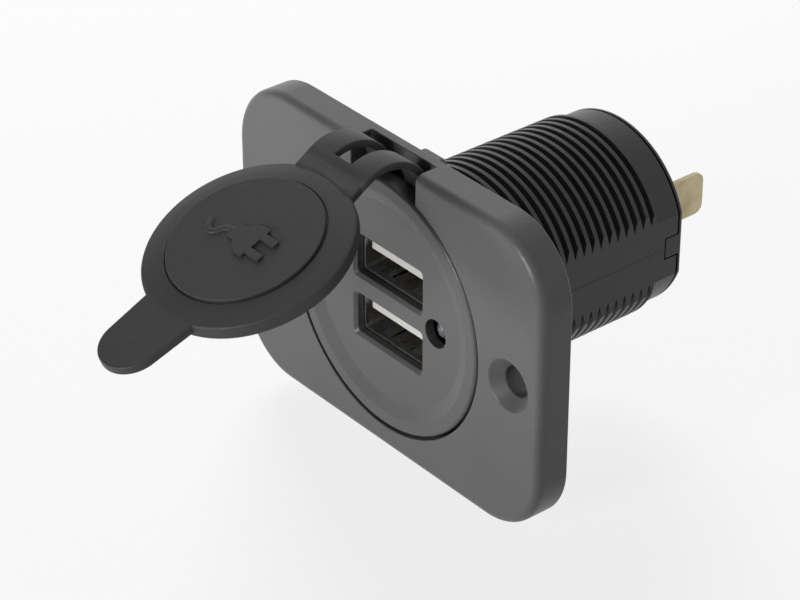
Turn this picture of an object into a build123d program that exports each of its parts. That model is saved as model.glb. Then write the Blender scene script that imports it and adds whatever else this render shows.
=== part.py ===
from build123d import *
from math import cos, radians, sin
import os

os.makedirs("parts", exist_ok=True)

# All lengths are in millimetres.
# The origin is the centre of the plate's back face, which lies on the panel.
# Seen from the front, +X is to the right and +Z is up. +Y goes into the panel.

# Mounting plate, with a round pocket for the socket, and a boss with a key behind it
plate_rim = 3.3
plate_thickness = 5.0
plate_corner_radius = 10.0
plate_edge_radius = 1.2
screw_spacing = 49.0
screw_end_distance = 6.0
screw_hole_radius = 2.15
screw_mouth_radius = 3.7
screw_cone_angle = 90.0
boss_wall = 1.3
boss_height = 2.4
boss_edge_radius = 0.5
key_width = 4.8
key_height = 1.5
key_inset = 0.6
key_corner_radius = 0.5
pocket_floor = 1.5
notch_width = 12.8
notch_edge_radius = 0.35

# Threaded socket body
thread_radius = 14.4
thread_end = 31.2
body_end = 34.9
thread_depth = 0.63
thread_pitch = 1.5
thread_groove_width = 0.95
thread_start = 3.9
thread_chamfer = 0.5
flat_depth = 1.4
body_wall = 2.25
board_ledge = 0.55
seat_clearance = 0.2
slide_clearance = 0.1
touch_gap = 0.05

# Round face with the two ports and the light
face_edge_radius = 0.45
face_lip_width = 2.1
face_slope_width = 1.9
face_flat_depth = 0.75
face_flange_thickness = 2.2
skirt_step = 2.25
skirt_wall = 1.4
skirt_length = 3.2
port_spacing = 9.1
port_chamfer = 0.45
light_hole_radius = 2.0
light_offset = 9.6

# Receptacles of the standard type A size
shell_width = 13.1
shell_height = 5.72
shell_wall = 0.3
shell_corner_radius = 0.7
shell_clearance = 0.08
shell_seam = 0.12
leaf_width = 1.8
leaf_length = 3.6
leaf_rise = 0.38
leaf_start = 0.9
leaf_side_margin = 3.55
leaf_margin = 0.25
tongue_side_gap = 0.7
tongue_top_gap = 0.46
tongue_thickness = 1.7
tongue_setback = 0.5
insulator_block_length = 3.0
insulator_clearance = 0.04
contact_width = 1.0
contact_thickness = 0.25
contact_spacing = 2.25
contact_setback = 0.8
contacts_per_port = 4
contact_slot_gap = 0.1
pin_stub = 1.0

# Circuit boards and what they carry
board_thickness = 1.6
board_clearance = 0.15
port_board_front = 11.0
power_board_front = 29.0
header_spacing = 2.54
header_pins = 3
header_width = 2.5
header_height = 2.5
pin_size = 0.64
hole_gap = 0.12
light_radius = 1.5
light_flange_radius = 1.9
light_flange_thickness = 1.0
light_length = 5.3
light_tip_depth = 1.35
lead_size = 0.5
lead_spacing = 2.54
input_can_radius = 3.6
input_can_length = 9.0
input_can_place = (4.4, 5.9)
output_can_radius = 3.15
output_can_length = 7.7
output_can_place = (-5.0, 5.6)
can_crimp_depth = 0.3
can_crimp_width = 0.9
can_crimp_height = 1.6
can_edge_radius = 0.4
coil_radius = 3.6
coil_height = 5.4
coil_flange = 1.0
coil_core_radius = 1.6
coil_margin = 0.25
coil_place = (-4.3, -6.0)
chip_length = 5.0
chip_width = 4.0
chip_height = 1.5
chip_place = (4.2, -5.4)
charge_chip_place = (-5.0, 0.0)
chip_leg_spacing = 1.27
chip_leg_width = 0.42
chip_leg_thickness = 0.2
chip_leg_reach = 1.0
chip_legs_per_side = 4
diode_size = (4.0, 3.6, 2.2)
diode_place = (8.2, 0.0)
fuse_size = (4.2, 3.2, 1.2)
fuse_place = (-8.2, 0.0)
resistor_size = (2.0, 1.25, 0.55)
resistor_places = [(4.6, 2.4), (4.6, 0.0), (4.6, -2.4), (7.6, 1.2), (7.6, -1.2)]

# Rear cover and the two push-on blades
cover_thickness = 0.95
cover_edge_radius = 0.45
plug_wall = 1.15
tab_width = 3.0
tab_length = 2.1
tab_depth = 1.5
tab_clearance = 0.08
blade_offset = 4.7
blade_width = 6.3
blade_thickness = 0.8
blade_tip = 47.4
blade_tip_chamfer = 1.5
blade_edge_chamfer = 0.2
blade_tail_width = 3.0
blade_tail_length = 3.2
blade_slot_gap = 0.1

# Rubber cap, its strap and the ring that holds it behind the face
cap_margin = 0.6
cap_rim_height = 2.1
cap_edge_radius = 0.4
cap_dome_rise = 0.65
cap_rim_width = 3.6
cap_pad_height = 0.45
cap_pad_edge_radius = 0.15
cap_skirt_wall = 1.5
cap_hollow_depth = 0.8
cap_closed_gap = 0.1
cap_dome_bulge = 0.12
grip_root_width = 9.5
grip_tip_radius = 4.35
grip_length = 9.55
grip_thickness = 1.3
grip_edge_radius = 0.25
neck_length = 0.5
neck_rise = 0.36
neck_root_inset = 1.25
strap_thickness = 1.1
strap_width = 11.2
strap_window_width = 3.4
strap_window_front = 6.3
strap_apex_height = 2.5
strap_bend_radius = 6.9
strap_lift_angle = 118.0
ring_width = 3.0
ring_edge_margin = 0.9
ring_clearance = 0.2
cap_open_angle = 68.8
cap_pivot_inset = 1.3
cap_pivot_rise = 1.2

# Places worked out from the sizes above
tail_radius = thread_radius - thread_depth
thread_grooves = int((thread_end - thread_chamfer - thread_start) / thread_pitch)
flat_offset = thread_radius - flat_depth
body_bore_radius = thread_radius - body_wall
body_waist_radius = body_bore_radius - board_ledge
skirt_radius = body_bore_radius + skirt_step
ring_inner_radius = skirt_radius + ring_clearance
ring_outer_radius = ring_inner_radius + ring_width
head_radius = ring_outer_radius + ring_edge_margin
pocket_radius = head_radius + seat_clearance
boss_radius = pocket_radius + boss_wall
body_hole_radius = thread_radius + 2 * slide_clearance
key_top = boss_radius - key_inset
plate_height = 2 * (pocket_radius + plate_rim)
plate_width = screw_spacing + 2 * screw_end_distance
plate_front = -plate_thickness
face_slope_outer_radius = head_radius - face_lip_width
face_flat_radius = face_slope_outer_radius - face_slope_width
face_flat = plate_front + face_flat_depth
face_back = plate_front + face_flange_thickness
ring_front = face_back + touch_gap
ring_back = ring_front + strap_thickness
head_front = ring_back + touch_gap
skirt_bore_radius = skirt_radius + slide_clearance
skirt_end = face_back + skirt_length
skirt_seat = skirt_end + slide_clearance
port_centres = {"upper": port_spacing / 2, "lower": -port_spacing / 2}
port_width = shell_width + 2 * shell_clearance
port_height = shell_height + 2 * shell_clearance
shell_front = face_back - touch_gap
shell_inside_width = shell_width - 2 * shell_wall
shell_inside_height = shell_height - 2 * shell_wall
leaf_offset = shell_width / 2 - leaf_side_margin
tongue_width = shell_inside_width - 2 * tongue_side_gap
tongue_height = shell_inside_height / 2 - tongue_top_gap - tongue_thickness
port_board_back = port_board_front + board_thickness
power_board_back = power_board_front + board_thickness
light_tip = face_flat + light_tip_depth
light_base = light_tip + light_length
cover_back = body_end + cover_thickness
plug_front = power_board_back + touch_gap
plug_radius = body_bore_radius - slide_clearance
board_radius = body_bore_radius - board_clearance
notch_floor = ring_back + 2 * touch_gap
header_length = header_pins * header_spacing

cap_radius = face_flat_radius - cap_margin
cap_pad_radius = cap_radius - cap_rim_width
cap_hollow_radius = cap_radius - cap_skirt_wall
grip_reach = cap_radius + grip_length
neck_reach = cap_radius + neck_length
neck_root = cap_radius - neck_root_inset
cap_closed_y = face_flat - cap_rim_height - cap_closed_gap
cap_pivot_y = plate_front + cap_pivot_inset
cap_pivot_z = plate_height / 2 + cap_pivot_rise
cap_swing = radians(cap_open_angle)
cap_arm_y = cap_closed_y - cap_pivot_y
cap_arm_z = -cap_pivot_z
cap_centre_y = cap_pivot_y + cap_arm_y * cos(cap_swing) + cap_arm_z * sin(cap_swing)
cap_centre_z = cap_pivot_z - cap_arm_y * sin(cap_swing) + cap_arm_z * cos(cap_swing)
cap_centre = (0, cap_centre_y, cap_centre_z)
cap_outward = (0, -cos(cap_swing), sin(cap_swing))
cap_plane = Plane(origin=cap_centre, x_dir=(1, 0, 0), z_dir=cap_outward)
cap_section = Plane(origin=cap_centre, x_dir=(1, 0, 0), z_dir=(0, -sin(cap_swing), -cos(cap_swing)))
bend_y = ring_back - strap_bend_radius
bend_z = plate_height / 2 + strap_apex_height - strap_bend_radius
bend_inner_radius = strap_bend_radius - strap_thickness


# A plane across the socket at depth y, seen from the front
def across(y):
    return Plane.XZ.offset(-y)


# Mounting plate
with BuildPart() as mounting_plate:
    with BuildSketch(across(0)):
        RectangleRounded(plate_width, plate_height, plate_corner_radius)
    extrude(amount=plate_thickness)
    fillet(mounting_plate.faces().sort_by(Axis.Y)[0].edges(), plate_edge_radius)
    with BuildSketch(across(boss_height)):
        Circle(boss_radius)
    extrude(amount=boss_height)
    fillet(mounting_plate.faces().sort_by(Axis.Y)[-1].edges(), boss_edge_radius)
    with BuildSketch(across(pocket_floor)):
        Circle(pocket_radius)
    extrude(amount=plate_thickness + pocket_floor, mode=Mode.SUBTRACT)
    with BuildSketch(across(boss_height)):
        Circle(body_hole_radius)
    extrude(amount=boss_height, mode=Mode.SUBTRACT)
    with BuildSketch(across(boss_height + key_height)):
        with Locations((0, (key_top + body_hole_radius) / 2)):
            RectangleRounded(key_width, key_top - body_hole_radius, key_corner_radius)
    extrude(amount=key_height)
    with BuildSketch(across(notch_floor)):
        with Locations((0, plate_height / 2)):
            Rectangle(notch_width, plate_height)
    extrude(amount=plate_thickness, mode=Mode.SUBTRACT)
    with Locations(across(plate_front)):
        with GridLocations(screw_spacing, 1, 2, 1):
            CounterSinkHole(
                screw_hole_radius,
                screw_mouth_radius,
                depth=2 * plate_thickness,
                counter_sink_angle=screw_cone_angle,
            )
    notch_top = plate_height / 2 - plate_edge_radius
    notch_edges = mounting_plate.edges().filter_by(Axis.Z).filter_by(
        lambda edge: abs(abs(edge.center().X) - notch_width / 2) < touch_gap
        and abs(edge.center().Y - plate_front) < touch_gap
        and edge.center().Z < notch_top
    )
    fillet(notch_edges, notch_edge_radius)
mounting_plate.part.label = "mounting_plate"
export_step(mounting_plate.part, "parts/mounting_plate.step")

# Face insert: a shallow dish round the ports, with a skirt that enters the body
with BuildPart() as face_insert:
    with BuildSketch(Plane.XY):
        with BuildLine():
            Polyline(
                (0, face_back),
                (0, face_flat),
                (face_flat_radius, face_flat),
                (face_slope_outer_radius, plate_front),
                (head_radius, plate_front),
                (head_radius, face_back),
                (skirt_radius, face_back),
                (skirt_radius, skirt_end),
                (skirt_radius - skirt_wall, skirt_end),
                (skirt_radius - skirt_wall, face_back),
                close=True,
            )
        make_face()
    revolve(axis=Axis.Y)
    rim = face_insert.edges().filter_by(GeomType.CIRCLE).group_by(Axis.Y)[0].sort_by(SortBy.RADIUS)[-1]
    fillet(rim, face_edge_radius)
    for centre in port_centres.values():
        with BuildSketch(across(face_back)):
            with Locations((0, centre)):
                Rectangle(port_width, port_height)
        extrude(amount=face_flange_thickness, mode=Mode.SUBTRACT)
        with BuildSketch(across(face_flat)):
            with Locations((0, centre)):
                Rectangle(port_width + 2 * port_chamfer, port_height + 2 * port_chamfer)
        extrude(amount=-port_chamfer, taper=45, mode=Mode.SUBTRACT)
    with BuildSketch(across(face_back)):
        with Locations((light_offset, 0)):
            Circle(light_hole_radius)
    extrude(amount=face_flange_thickness, mode=Mode.SUBTRACT)
face_insert.part.label = "face_insert"
export_step(face_insert.part, "parts/face_insert.step")

# Socket body: head, threaded barrel with two flats, and bores from both ends.
# Each turn of the thread is a plain V groove round the barrel.
groove_line = []
for turn in range(thread_grooves):
    groove_y = thread_start + turn * thread_pitch
    groove_line += [
        (thread_radius, groove_y),
        (tail_radius, groove_y + thread_groove_width / 2),
        (thread_radius, groove_y + thread_groove_width),
    ]
with BuildPart() as socket_body:
    with BuildSketch(Plane.XY):
        with BuildLine():
            Polyline(
                (skirt_bore_radius, head_front),
                (head_radius, head_front),
                (head_radius, pocket_floor),
                (thread_radius, pocket_floor),
                *groove_line,
                (thread_radius, thread_end - thread_chamfer),
                (tail_radius, thread_end),
                (tail_radius, body_end),
                (body_bore_radius, body_end),
                (body_bore_radius, power_board_front),
                (body_waist_radius, power_board_front),
                (body_waist_radius, port_board_back),
                (body_bore_radius, port_board_back),
                (body_bore_radius, skirt_seat),
                (skirt_bore_radius, skirt_seat),
                close=True,
            )
        make_face()
    revolve(axis=Axis.Y)
    for side in (-1, 1):
        with BuildSketch(across(body_end)):
            with Locations((side * (flat_offset + thread_radius), 0)):
                Rectangle(2 * thread_radius, 2 * thread_radius)
        extrude(amount=body_end - boss_height - touch_gap, mode=Mode.SUBTRACT)
        with BuildSketch(across(body_end)):
            with Locations((side * flat_offset, 0)):
                Rectangle(2 * (tab_depth + slide_clearance), tab_width + 2 * tab_clearance)
        extrude(amount=tab_length + tab_clearance, mode=Mode.SUBTRACT)
socket_body.part.label = "socket_body"
export_step(socket_body.part, "parts/socket_body.step")

# Rear cover: a thin disc with a plug rim and two snap tabs in the body's flats
with BuildPart() as rear_cover:
    with BuildSketch(across(cover_back)):
        Circle(tail_radius)
        Rectangle(2 * flat_offset, 2 * tail_radius, mode=Mode.INTERSECT)
    extrude(amount=cover_thickness)
    fillet(rear_cover.faces().sort_by(Axis.Y)[-1].edges(), cover_edge_radius)
    with BuildSketch(across(body_end)):
        Circle(plug_radius)
        Circle(plug_radius - plug_wall, mode=Mode.SUBTRACT)
    extrude(amount=body_end - plug_front)
    for side in (-1, 1):
        with BuildSketch(across(body_end)):
            with Locations((side * (flat_offset - tab_depth / 2), 0)):
                Rectangle(tab_depth, tab_width)
        extrude(amount=tab_length)
    with BuildSketch(across(cover_back)):
        with Locations((-blade_offset, 0), (blade_offset, 0)):
            Rectangle(blade_thickness + 2 * blade_slot_gap, blade_width + 2 * blade_slot_gap)
    extrude(amount=cover_thickness, mode=Mode.SUBTRACT)
rear_cover.part.label = "rear_cover"
export_step(rear_cover.part, "parts/rear_cover.step")


# A folded metal shell with a seam below and sprung leaves pressed inwards
def make_shell(name, centre):
    with BuildPart() as shell:
        with BuildSketch(across(port_board_front)):
            with Locations((0, centre)):
                RectangleRounded(shell_width, shell_height, shell_corner_radius)
                RectangleRounded(
                    shell_inside_width,
                    shell_inside_height,
                    shell_corner_radius - shell_wall,
                    mode=Mode.SUBTRACT,
                )
        extrude(amount=port_board_front - shell_front)
        with BuildSketch(across(port_board_front)):
            with Locations((0, centre - shell_height / 2)):
                Rectangle(shell_seam, 4 * shell_wall)
        extrude(amount=port_board_front - shell_front, mode=Mode.SUBTRACT)
        leaf_end = shell_front + leaf_start + leaf_length
        for up in (-1, 1):
            wall = centre + up * shell_height / 2
            for side in (-1, 1):
                with BuildSketch(across(leaf_end + leaf_margin)):
                    with Locations((side * leaf_offset, wall)):
                        Rectangle(leaf_width + 2 * leaf_margin, 4 * shell_wall)
                extrude(amount=leaf_length + leaf_margin, mode=Mode.SUBTRACT)
                with BuildSketch(Plane.YZ.offset(side * leaf_offset)):
                    with BuildLine():
                        Polyline(
                            (leaf_end - leaf_length, wall),
                            (leaf_end, wall - up * leaf_rise),
                            (leaf_end, wall - up * (leaf_rise + shell_wall)),
                            (leaf_end - leaf_length, wall - up * shell_wall),
                            close=True,
                        )
                    make_face()
                extrude(amount=leaf_width / 2, both=True)
    shell.part.label = name
    export_step(shell.part, f"parts/{name}.step")


# The white moulding that carries the contacts under its tongue
def make_insulator(name, centre):
    block_front = port_board_front - insulator_block_length
    tongue_front = shell_front + tongue_setback
    tongue_middle = centre + tongue_height + tongue_thickness / 2
    with BuildPart() as insulator:
        with BuildSketch(across(port_board_front)):
            with Locations((0, centre)):
                RectangleRounded(
                    shell_inside_width - 2 * insulator_clearance,
                    shell_inside_height - 2 * insulator_clearance,
                    shell_corner_radius,
                )
        extrude(amount=insulator_block_length)
        with BuildSketch(across(block_front)):
            with Locations((0, tongue_middle)):
                Rectangle(tongue_width, tongue_thickness)
        extrude(amount=block_front - tongue_front)
        with BuildSketch(across(port_board_front)):
            with Locations((0, centre + tongue_height - contact_thickness / 2)):
                with GridLocations(contact_spacing, 1, contacts_per_port, 1):
                    Rectangle(
                        contact_width + 2 * contact_slot_gap,
                        contact_thickness + 2 * contact_slot_gap,
                    )
        extrude(amount=insulator_block_length, mode=Mode.SUBTRACT)
    insulator.part.label = name
    export_step(insulator.part, f"parts/{name}.step")


# Four flat contacts under the tongue, with their ends through the board
def make_contacts(name, centre):
    contact_front = shell_front + tongue_setback + contact_setback
    contact_end = port_board_back + pin_stub
    with BuildPart() as contacts:
        with BuildSketch(across(contact_end)):
            with Locations((0, centre + tongue_height - contact_thickness / 2)):
                with GridLocations(contact_spacing, 1, contacts_per_port, 1):
                    Rectangle(contact_width, contact_thickness)
        extrude(amount=contact_end - contact_front)
    contacts.part.label = name
    export_step(contacts.part, f"parts/{name}.step")


for place, centre in port_centres.items():
    make_shell(f"usb_shell_{place}", centre)
    make_insulator(f"port_insulator_{place}", centre)
    make_contacts(f"port_contacts_{place}", centre)

# Status light: a round-nosed lamp on two leads
with BuildPart() as status_light:
    with BuildSketch(Plane(origin=(light_offset, 0, 0), x_dir=(1, 0, 0), z_dir=(0, 0, 1))):
        with BuildLine():
            nose = CenterArc((0, light_tip + light_radius), light_radius, 270, 90)
            Polyline(
                nose @ 1,
                (light_radius, light_base - light_flange_thickness),
                (light_flange_radius, light_base - light_flange_thickness),
                (light_flange_radius, light_base),
                (0, light_base),
                nose @ 0,
            )
        make_face()
    revolve(axis=Axis((light_offset, 0, 0), (0, 1, 0)))
status_light.part.label = "status_light"
export_step(status_light.part, "parts/status_light.step")

with BuildPart() as light_leads:
    with BuildSketch(across(port_board_back + pin_stub)):
        with Locations((light_offset, 0)):
            with GridLocations(1, lead_spacing, 1, 2):
                Rectangle(lead_size, lead_size)
    extrude(amount=port_board_back + pin_stub - light_base)
light_leads.part.label = "light_leads"
export_step(light_leads.part, "parts/light_leads.step")

# Port board: it seats on the front ledge inside the body
with BuildPart() as port_board:
    with BuildSketch(across(port_board_back)):
        Circle(board_radius)
        for centre in port_centres.values():
            with Locations((0, centre + tongue_height - contact_thickness / 2)):
                with GridLocations(contact_spacing, 1, contacts_per_port, 1):
                    Rectangle(
                        contact_width + 2 * hole_gap,
                        contact_thickness + 2 * hole_gap,
                        mode=Mode.SUBTRACT,
                    )
        with GridLocations(1, header_spacing, 1, header_pins):
            Rectangle(pin_size + 2 * hole_gap, pin_size + 2 * hole_gap, mode=Mode.SUBTRACT)
        with Locations((light_offset, 0)):
            with GridLocations(1, lead_spacing, 1, 2):
                Rectangle(lead_size + 2 * hole_gap, lead_size + 2 * hole_gap, mode=Mode.SUBTRACT)
    extrude(amount=board_thickness)
port_board.part.label = "port_board"
export_step(port_board.part, "parts/port_board.step")

# Power board: it seats on the rear ledge and is held there by the cover's rim
with BuildPart() as power_board:
    with BuildSketch(across(power_board_back)):
        Circle(board_radius)
        with Locations((-blade_offset, 0), (blade_offset, 0)):
            Rectangle(
                blade_thickness + 2 * hole_gap,
                blade_tail_width + 2 * hole_gap,
                mode=Mode.SUBTRACT,
            )
        with GridLocations(1, header_spacing, 1, header_pins):
            Rectangle(pin_size + 2 * hole_gap, pin_size + 2 * hole_gap, mode=Mode.SUBTRACT)
    extrude(amount=board_thickness)
power_board.part.label = "power_board"
export_step(power_board.part, "parts/power_board.step")

# Header between the boards
with BuildPart() as header_base:
    with BuildSketch(across(power_board_front)):
        Rectangle(header_width, header_length)
        with GridLocations(1, header_spacing, 1, header_pins):
            Rectangle(pin_size + 2 * hole_gap, pin_size + 2 * hole_gap, mode=Mode.SUBTRACT)
    extrude(amount=header_height)
header_base.part.label = "header_base"
export_step(header_base.part, "parts/header_base.step")

with BuildPart() as header_pin_row:
    with BuildSketch(across(power_board_back + pin_stub)):
        with GridLocations(1, header_spacing, 1, header_pins):
            Rectangle(pin_size, pin_size)
    extrude(amount=power_board_back + pin_stub - port_board_front - 4 * touch_gap)
header_pin_row.part.label = "header_pin_row"
export_step(header_pin_row.part, "parts/header_pin_row.step")


# A capacitor can standing on the power board, with the crimp near its foot
def make_can(name, radius, length, place):
    with BuildPart() as can:
        with BuildSketch(across(power_board_front)):
            with Locations(place):
                Circle(radius)
        extrude(amount=length)
        with BuildSketch(across(power_board_front - can_crimp_height)):
            with Locations(place):
                Circle(radius)
                Circle(radius - can_crimp_depth, mode=Mode.SUBTRACT)
        extrude(amount=can_crimp_width, mode=Mode.SUBTRACT)
        fillet(can.faces().sort_by(Axis.Y)[0].edges(), can_edge_radius)
    can.part.label = name
    export_step(can.part, f"parts/{name}.step")


make_can("input_capacitor", input_can_radius, input_can_length, input_can_place)
make_can("output_capacitor", output_can_radius, output_can_length, output_can_place)

# Choke: a ferrite bobbin with its winding in the groove
with BuildPart() as choke_core:
    with BuildSketch(across(power_board_front)):
        with Locations(coil_place):
            Circle(coil_radius)
    extrude(amount=coil_height)
    with BuildSketch(across(power_board_front - coil_flange)):
        with Locations(coil_place):
            Circle(coil_radius)
            Circle(coil_core_radius, mode=Mode.SUBTRACT)
    extrude(amount=coil_height - 2 * coil_flange, mode=Mode.SUBTRACT)
choke_core.part.label = "choke_core"
export_step(choke_core.part, "parts/choke_core.step")

with BuildPart() as choke_winding:
    with BuildSketch(across(power_board_front - coil_flange)):
        with Locations(coil_place):
            Circle(coil_radius - coil_margin)
            Circle(coil_core_radius, mode=Mode.SUBTRACT)
    extrude(amount=coil_height - 2 * coil_flange)
choke_winding.part.label = "choke_winding"
export_step(choke_winding.part, "parts/choke_winding.step")


# A flat chip with bent legs along its two long sides, standing off a board
def make_chip(name, place, board_face, up):
    with BuildPart() as chip:
        with BuildSketch(across(board_face + up * chip_leg_thickness)):
            with Locations(place):
                Rectangle(chip_length, chip_width)
        extrude(amount=-up * chip_height)
        with BuildSketch(across(board_face)):
            with Locations(place):
                with GridLocations(chip_leg_spacing, chip_width + chip_leg_reach, chip_legs_per_side, 2):
                    Rectangle(chip_leg_width, chip_leg_reach)
        extrude(amount=-up * chip_height / 2)
    chip.part.label = name
    export_step(chip.part, f"parts/{name}.step")


make_chip("converter_chip", chip_place, power_board_front, -1)
make_chip("charge_chip", charge_chip_place, port_board_back, 1)


# A plain block on the power board
def make_block(name, size, place):
    with BuildPart() as block:
        with BuildSketch(across(power_board_front)):
            with Locations(place):
                Rectangle(size[0], size[1])
        extrude(amount=size[2])
    block.part.label = name
    export_step(block.part, f"parts/{name}.step")


make_block("rectifier_diode", diode_size, diode_place)
make_block("input_fuse", fuse_size, fuse_place)

with BuildPart() as chip_resistors:
    with BuildSketch(across(port_board_back)):
        with Locations(*resistor_places):
            Rectangle(resistor_size[0], resistor_size[1])
    extrude(amount=-resistor_size[2])
chip_resistors.part.label = "chip_resistors"
export_step(chip_resistors.part, "parts/chip_resistors.step")


# A push-on blade: its shoulder rests on the power board and its tail goes through
def make_blade(name, offset):
    with BuildPart() as blade:
        with BuildSketch(Plane.YZ.offset(offset)):
            with Locations(((plug_front + blade_tip) / 2, 0)):
                Rectangle(blade_tip - plug_front, blade_width)
            with Locations((plug_front, 0)):
                Rectangle(2 * blade_tail_length, blade_tail_width)
        extrude(amount=blade_thickness / 2, both=True)
        tip_corners = blade.edges().filter_by(Axis.X).group_by(Axis.Y)[-1]
        chamfer(tip_corners, blade_tip_chamfer)
        chamfer(blade.faces().sort_by(Axis.Y)[-1].edges().filter_by(Axis.Z), blade_edge_chamfer)
    blade.part.label = name
    export_step(blade.part, f"parts/{name}.step")


make_blade("blade_positive", blade_offset)
make_blade("blade_negative", -blade_offset)

# A point beside the cap: so far along it towards the strap, and so far above its rim
def on_cap(along, above):
    return (
        cap_centre_y + along * sin(cap_swing) - above * cos(cap_swing),
        cap_centre_z + along * cos(cap_swing) + above * sin(cap_swing),
    )


# Cap: a domed rim, a raised round pad, a grip tab and the root of the strap
with BuildPart() as cap:
    with BuildSketch(cap_section):
        with BuildLine():
            dome = SagittaArc((cap_pad_radius, cap_dome_rise), (cap_radius, 0), -cap_dome_bulge)
            Polyline(
                dome @ 1,
                (cap_radius, -cap_rim_height),
                (cap_hollow_radius, -cap_rim_height),
                (cap_hollow_radius, cap_hollow_depth - cap_rim_height),
                (0, cap_hollow_depth - cap_rim_height),
                (0, cap_dome_rise + cap_pad_height),
                (cap_pad_radius, cap_dome_rise + cap_pad_height),
                dome @ 0,
            )
        section = make_face()
        fillet(section.vertices().group_by(Axis.X)[-1], cap_edge_radius)
        pad_corner = section.vertices().group_by(Axis.Y)[-1].sort_by(Axis.X)[-1]
        fillet(pad_corner, cap_pad_edge_radius)
    revolve(axis=Axis(cap_centre, cap_outward))
    with BuildSketch(cap_plane):
        with BuildLine():
            Polyline(
                (grip_root_width / 2, -cap_hollow_radius),
                (grip_tip_radius, grip_tip_radius - grip_reach),
                (-grip_tip_radius, grip_tip_radius - grip_reach),
                (-grip_root_width / 2, -cap_hollow_radius),
                close=True,
            )
        make_face()
        with Locations((0, grip_tip_radius - grip_reach)):
            Circle(grip_tip_radius)
    extrude(amount=-grip_thickness)
    grip_edges = cap.edges().filter_by(
        lambda edge: cap_plane.to_local_coords(edge.center()).Y < -cap_radius - grip_edge_radius
        and not edge.is_interior
        and abs(edge.tangent_at(0.5).dot(cap_plane.z_dir)) < 0.5
    )
    fillet(grip_edges, grip_edge_radius)
    with BuildSketch(Plane.YZ):
        with BuildLine():
            Polyline(
                on_cap(neck_root, 0),
                on_cap(neck_reach, neck_rise),
                on_cap(neck_reach, neck_rise - strap_thickness),
                on_cap(neck_root, -strap_thickness),
                close=True,
            )
        make_face()
    extrude(amount=strap_width / 2, both=True)
cap.part.label = "cap"
export_step(cap.part, "parts/cap.step")


# Strap: two legs that arch from the cap's root and drop behind the face
with BuildPart() as cap_strap:
    with BuildSketch(Plane.YZ):
        with BuildLine():
            outer = CenterArc((bend_y, bend_z), strap_bend_radius, 0, strap_lift_angle)
            inner = CenterArc((bend_y, bend_z), bend_inner_radius, 0, strap_lift_angle)
            Line(outer @ 0, inner @ 0)
            Polyline(
                outer @ 1,
                on_cap(neck_reach, neck_rise),
                on_cap(neck_reach, neck_rise - strap_thickness),
                inner @ 1,
            )
        make_face()
    extrude(amount=strap_width / 2, both=True)
    with BuildSketch(across(ring_back)):
        with Locations((0, bend_z + strap_bend_radius)):
            Rectangle(strap_window_width, 4 * strap_bend_radius)
    extrude(amount=ring_back - plate_front + strap_window_front, mode=Mode.SUBTRACT)
cap_strap.part.label = "cap_strap"
export_step(cap_strap.part, "parts/cap_strap.step")

# Ring: it lies round the face's skirt and is held between the face and the body
with BuildPart() as cap_ring:
    with BuildSketch(across(ring_back)):
        Circle(ring_outer_radius)
        with Locations((0, (bend_z + ring_inner_radius) / 2)):
            Rectangle(strap_width, bend_z - ring_inner_radius)
        Circle(ring_inner_radius, mode=Mode.SUBTRACT)
    extrude(amount=strap_thickness)
cap_ring.part.label = "cap_ring"
export_step(cap_ring.part, "parts/cap_ring.step")
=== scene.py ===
import math

import bmesh
import bpy
from mathutils import Matrix, Vector


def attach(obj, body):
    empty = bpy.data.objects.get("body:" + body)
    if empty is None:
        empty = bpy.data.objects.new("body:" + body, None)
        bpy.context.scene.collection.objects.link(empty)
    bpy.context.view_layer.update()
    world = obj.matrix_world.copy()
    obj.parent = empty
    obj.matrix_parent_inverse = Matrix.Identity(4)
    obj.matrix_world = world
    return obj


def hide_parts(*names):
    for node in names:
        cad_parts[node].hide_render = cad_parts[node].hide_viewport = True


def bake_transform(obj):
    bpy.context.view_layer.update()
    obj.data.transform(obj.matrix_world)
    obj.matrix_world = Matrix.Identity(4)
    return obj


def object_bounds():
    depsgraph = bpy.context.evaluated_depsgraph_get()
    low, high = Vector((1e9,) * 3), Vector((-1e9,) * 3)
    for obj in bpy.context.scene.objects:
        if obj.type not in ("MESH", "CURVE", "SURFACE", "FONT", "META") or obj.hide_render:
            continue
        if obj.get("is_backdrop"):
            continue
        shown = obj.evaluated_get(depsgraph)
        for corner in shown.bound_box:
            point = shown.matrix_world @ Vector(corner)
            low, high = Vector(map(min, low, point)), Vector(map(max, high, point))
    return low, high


# Panel charger socket. Pieces are modelled in millimetres where the frame has them,
# and brought to metres when they are finished. -Y is the front, +Z is up.

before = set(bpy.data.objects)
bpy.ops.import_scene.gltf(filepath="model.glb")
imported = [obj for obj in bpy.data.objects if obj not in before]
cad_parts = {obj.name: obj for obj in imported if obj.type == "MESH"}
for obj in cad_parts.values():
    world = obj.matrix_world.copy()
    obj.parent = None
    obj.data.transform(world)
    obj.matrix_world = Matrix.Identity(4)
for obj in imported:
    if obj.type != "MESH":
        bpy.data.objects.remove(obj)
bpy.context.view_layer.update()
print("frame loaded:", len(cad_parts), "nodes")

metresPerMm = 0.001
joinGap = 1e-4
strayGap = 0.004
sameGap = 0.02
flatAngle = math.radians(0.3)
smoothAngle = math.radians(40)
past = 1.0   # how far cutters run past a face
outside = 20.0   # further out than any flat
lintTone = (0.55, 0.55, 0.53)


# modelling by hand
def deselectAll():
    bpy.ops.object.select_all(action="DESELECT")


def only(piece):
    deselectAll()
    piece.select_set(True)
    bpy.context.view_layer.objects.active = piece


def named(name):
    piece = bpy.context.active_object
    piece.name = name
    piece.data.name = name
    bpy.ops.object.transform_apply(location=True, rotation=True, scale=True)
    return piece


def startEdit(piece):
    only(piece)
    bpy.ops.object.mode_set(mode="EDIT")


def endEdit():
    bpy.ops.object.mode_set(mode="OBJECT")


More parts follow.
